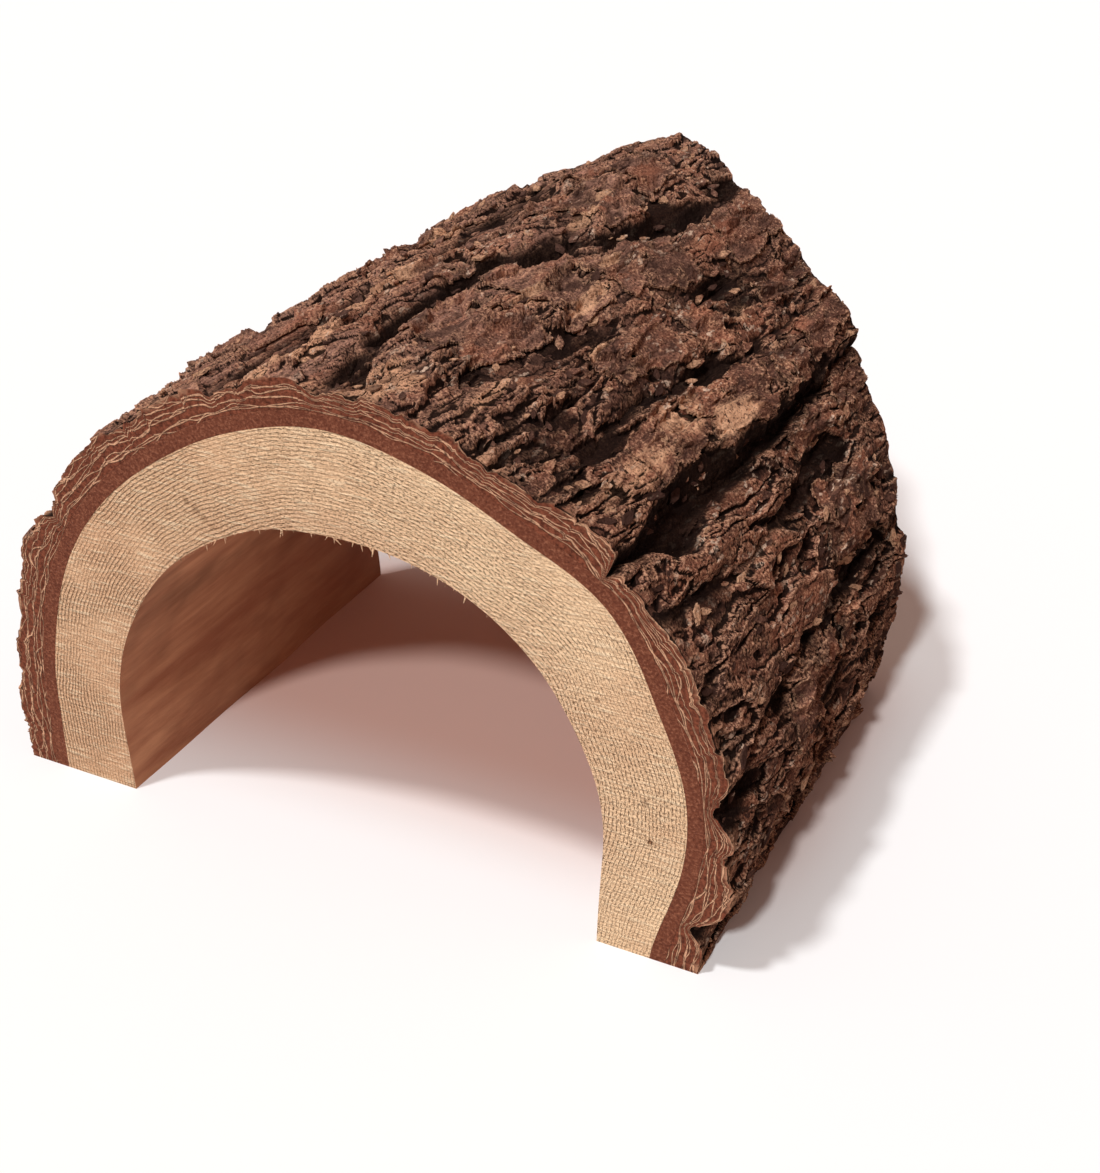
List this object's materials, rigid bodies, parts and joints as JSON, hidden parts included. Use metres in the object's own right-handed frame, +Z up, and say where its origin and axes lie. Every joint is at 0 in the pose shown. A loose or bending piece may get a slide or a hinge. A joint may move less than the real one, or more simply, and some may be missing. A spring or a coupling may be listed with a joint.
{
  "type": "reptile hide log",
  "caption": "Half-round natural log hide with an arched hollow, rough furrowed bark and a rear end sawn to a point that fits a tank corner.",
  "frame": {"origin": "on the ground, in the middle of the log's footprint box", "axes": "+X across the log to the right of the entrance, +Y along the log from the entrance to the rear point, +Z up"},
  "size_m": [0.1874, 0.184, 0.1208],
  "materials": {
    "sapwood": "sawn, unfinished",
    "inner_bark": "dry, granular",
    "outer_bark": "rough, furrowed",
    "bark_flake": "dry, flaky"
  },
  "bodies": {
    "root": {"wood_arch": "sapwood", "inner_bark": "inner_bark", "right_foot_bark": "outer_bark", "right_wall_bark": "outer_bark", "right_flank_bark": "outer_bark", "right_cleft_bark": "outer_bark", "right_shoulder_bark": "outer_bark", "right_upper_bark": "outer_bark", "crown_right_bark": "outer_bark", "crown_left_bark": "outer_bark", "left_upper_bark": "outer_bark", "left_shoulder_bark": "outer_bark", "left_wall_bark": "outer_bark", "left_foot_bark": "outer_bark", "right_side_flakes": "bark_flake", "right_top_flakes": "bark_flake", "crown_flakes": "bark_flake", "left_side_flakes": "bark_flake"}
  },
  "joints": []
}
